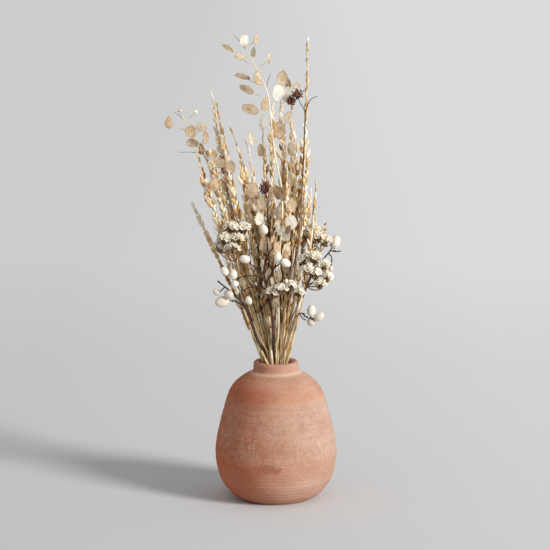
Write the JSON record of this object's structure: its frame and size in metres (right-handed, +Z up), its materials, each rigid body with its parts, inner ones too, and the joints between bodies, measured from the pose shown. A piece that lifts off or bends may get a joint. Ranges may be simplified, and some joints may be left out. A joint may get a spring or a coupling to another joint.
{
  "type": "flower vase",
  "caption": "Round-bellied terracotta vase with a short narrow neck, holding a loose bunch of dried grasses, seed pods, statice and white berries.",
  "frame": {"origin": "centre of the vase's flat foot, on the surface it stands on", "axes": "+Z up along the vase's axis, +X to the viewer's right, -Y towards the viewer"},
  "size_m": [0.2282, 0.1606, 0.6135],
  "materials": {
    "terracotta": "matte",
    "dried_grass": "matte",
    "tallow_berry": "satin",
    "statice": "matte",
    "honesty_pod": "satin",
    "dark_seed": "matte"
  },
  "bodies": {
    "vase": {"vase_body": "terracotta"},
    "bunch": {"grass_stem_01": "dried_grass", "grass_stem_02": "dried_grass", "grass_stem_03": "dried_grass", "grass_stem_04": "dried_grass", "grass_stem_05": "dried_grass", "grass_stem_06": "dried_grass", "grass_stem_07": "dried_grass", "grass_stem_08": "dried_grass", "grass_stem_09": "dried_grass", "grass_stem_10": "dried_grass", "grass_stem_11": "dried_grass", "grass_stem_12": "dried_grass", "grass_stem_13": "dried_grass", "grass_stem_14": "dried_grass", "grass_stem_15": "dried_grass", "grass_stem_16": "dried_grass", "grass_stem_17": "dried_grass", "grass_stem_18": "dried_grass", "grass_stem_19": "dried_grass", "grass_stem_20": "dried_grass", "grass_stem_21": "dried_grass", "grass_stem_22": "dried_grass", "grass_stem_23": "dried_grass", "grass_stem_24": "dried_grass", "grass_stem_25": "dried_grass", "grass_stem_26": "dried_grass", "grass_stem_27": "dried_grass", "grass_stem_28": "dried_grass", "grass_stem_29": "dried_grass", "grass_stem_30": "dried_grass", "grass_stem_31": "dried_grass", "grass_stem_32": "dried_grass", "grass_stem_33": "dried_grass", "grass_stem_34": "dried_grass", "grass_stem_35": "dried_grass", "bead_spike_1": "dried_grass", "bead_spike_2": "dried_grass", "tallow_sprig_front": "tallow_berry", "tallow_sprig_left": "tallow_berry", "tallow_sprig_far_right": "tallow_berry", "statice_left": "statice", "statice_right_high": "statice", "statice_right": "statice", "statice_front": "statice", "honesty_tall": "honesty_pod", "honesty_centre": "honesty_pod", "honesty_left": "honesty_pod", "honesty_inner": "honesty_pod", "seed_head_tall": "dark_seed", "seed_head_low": "dark_seed"},
    "loose_tallow": {"tallow_sprig_right": "tallow_berry"},
    "loose_grass": {"grass_stem_left": "dried_grass"}
  },
  "joints": [
    {"name": "bunch_lift", "type": "slide", "parent": "vase", "child": "bunch", "axis": [0, 0, 1], "range_m": [0, 0.2]},
    {"name": "tallow_sprig_right_pull", "type": "slide", "parent": "vase", "child": "loose_tallow", "axis": [0.2424, -0.0291, 0.9697], "range_m": [0, 0.19]},
    {"name": "grass_stem_left_pull", "type": "slide", "parent": "vase", "child": "loose_grass", "axis": [-0.4249, 0.2601, 0.8671], "range_m": [0, 0.15]}
  ]
}
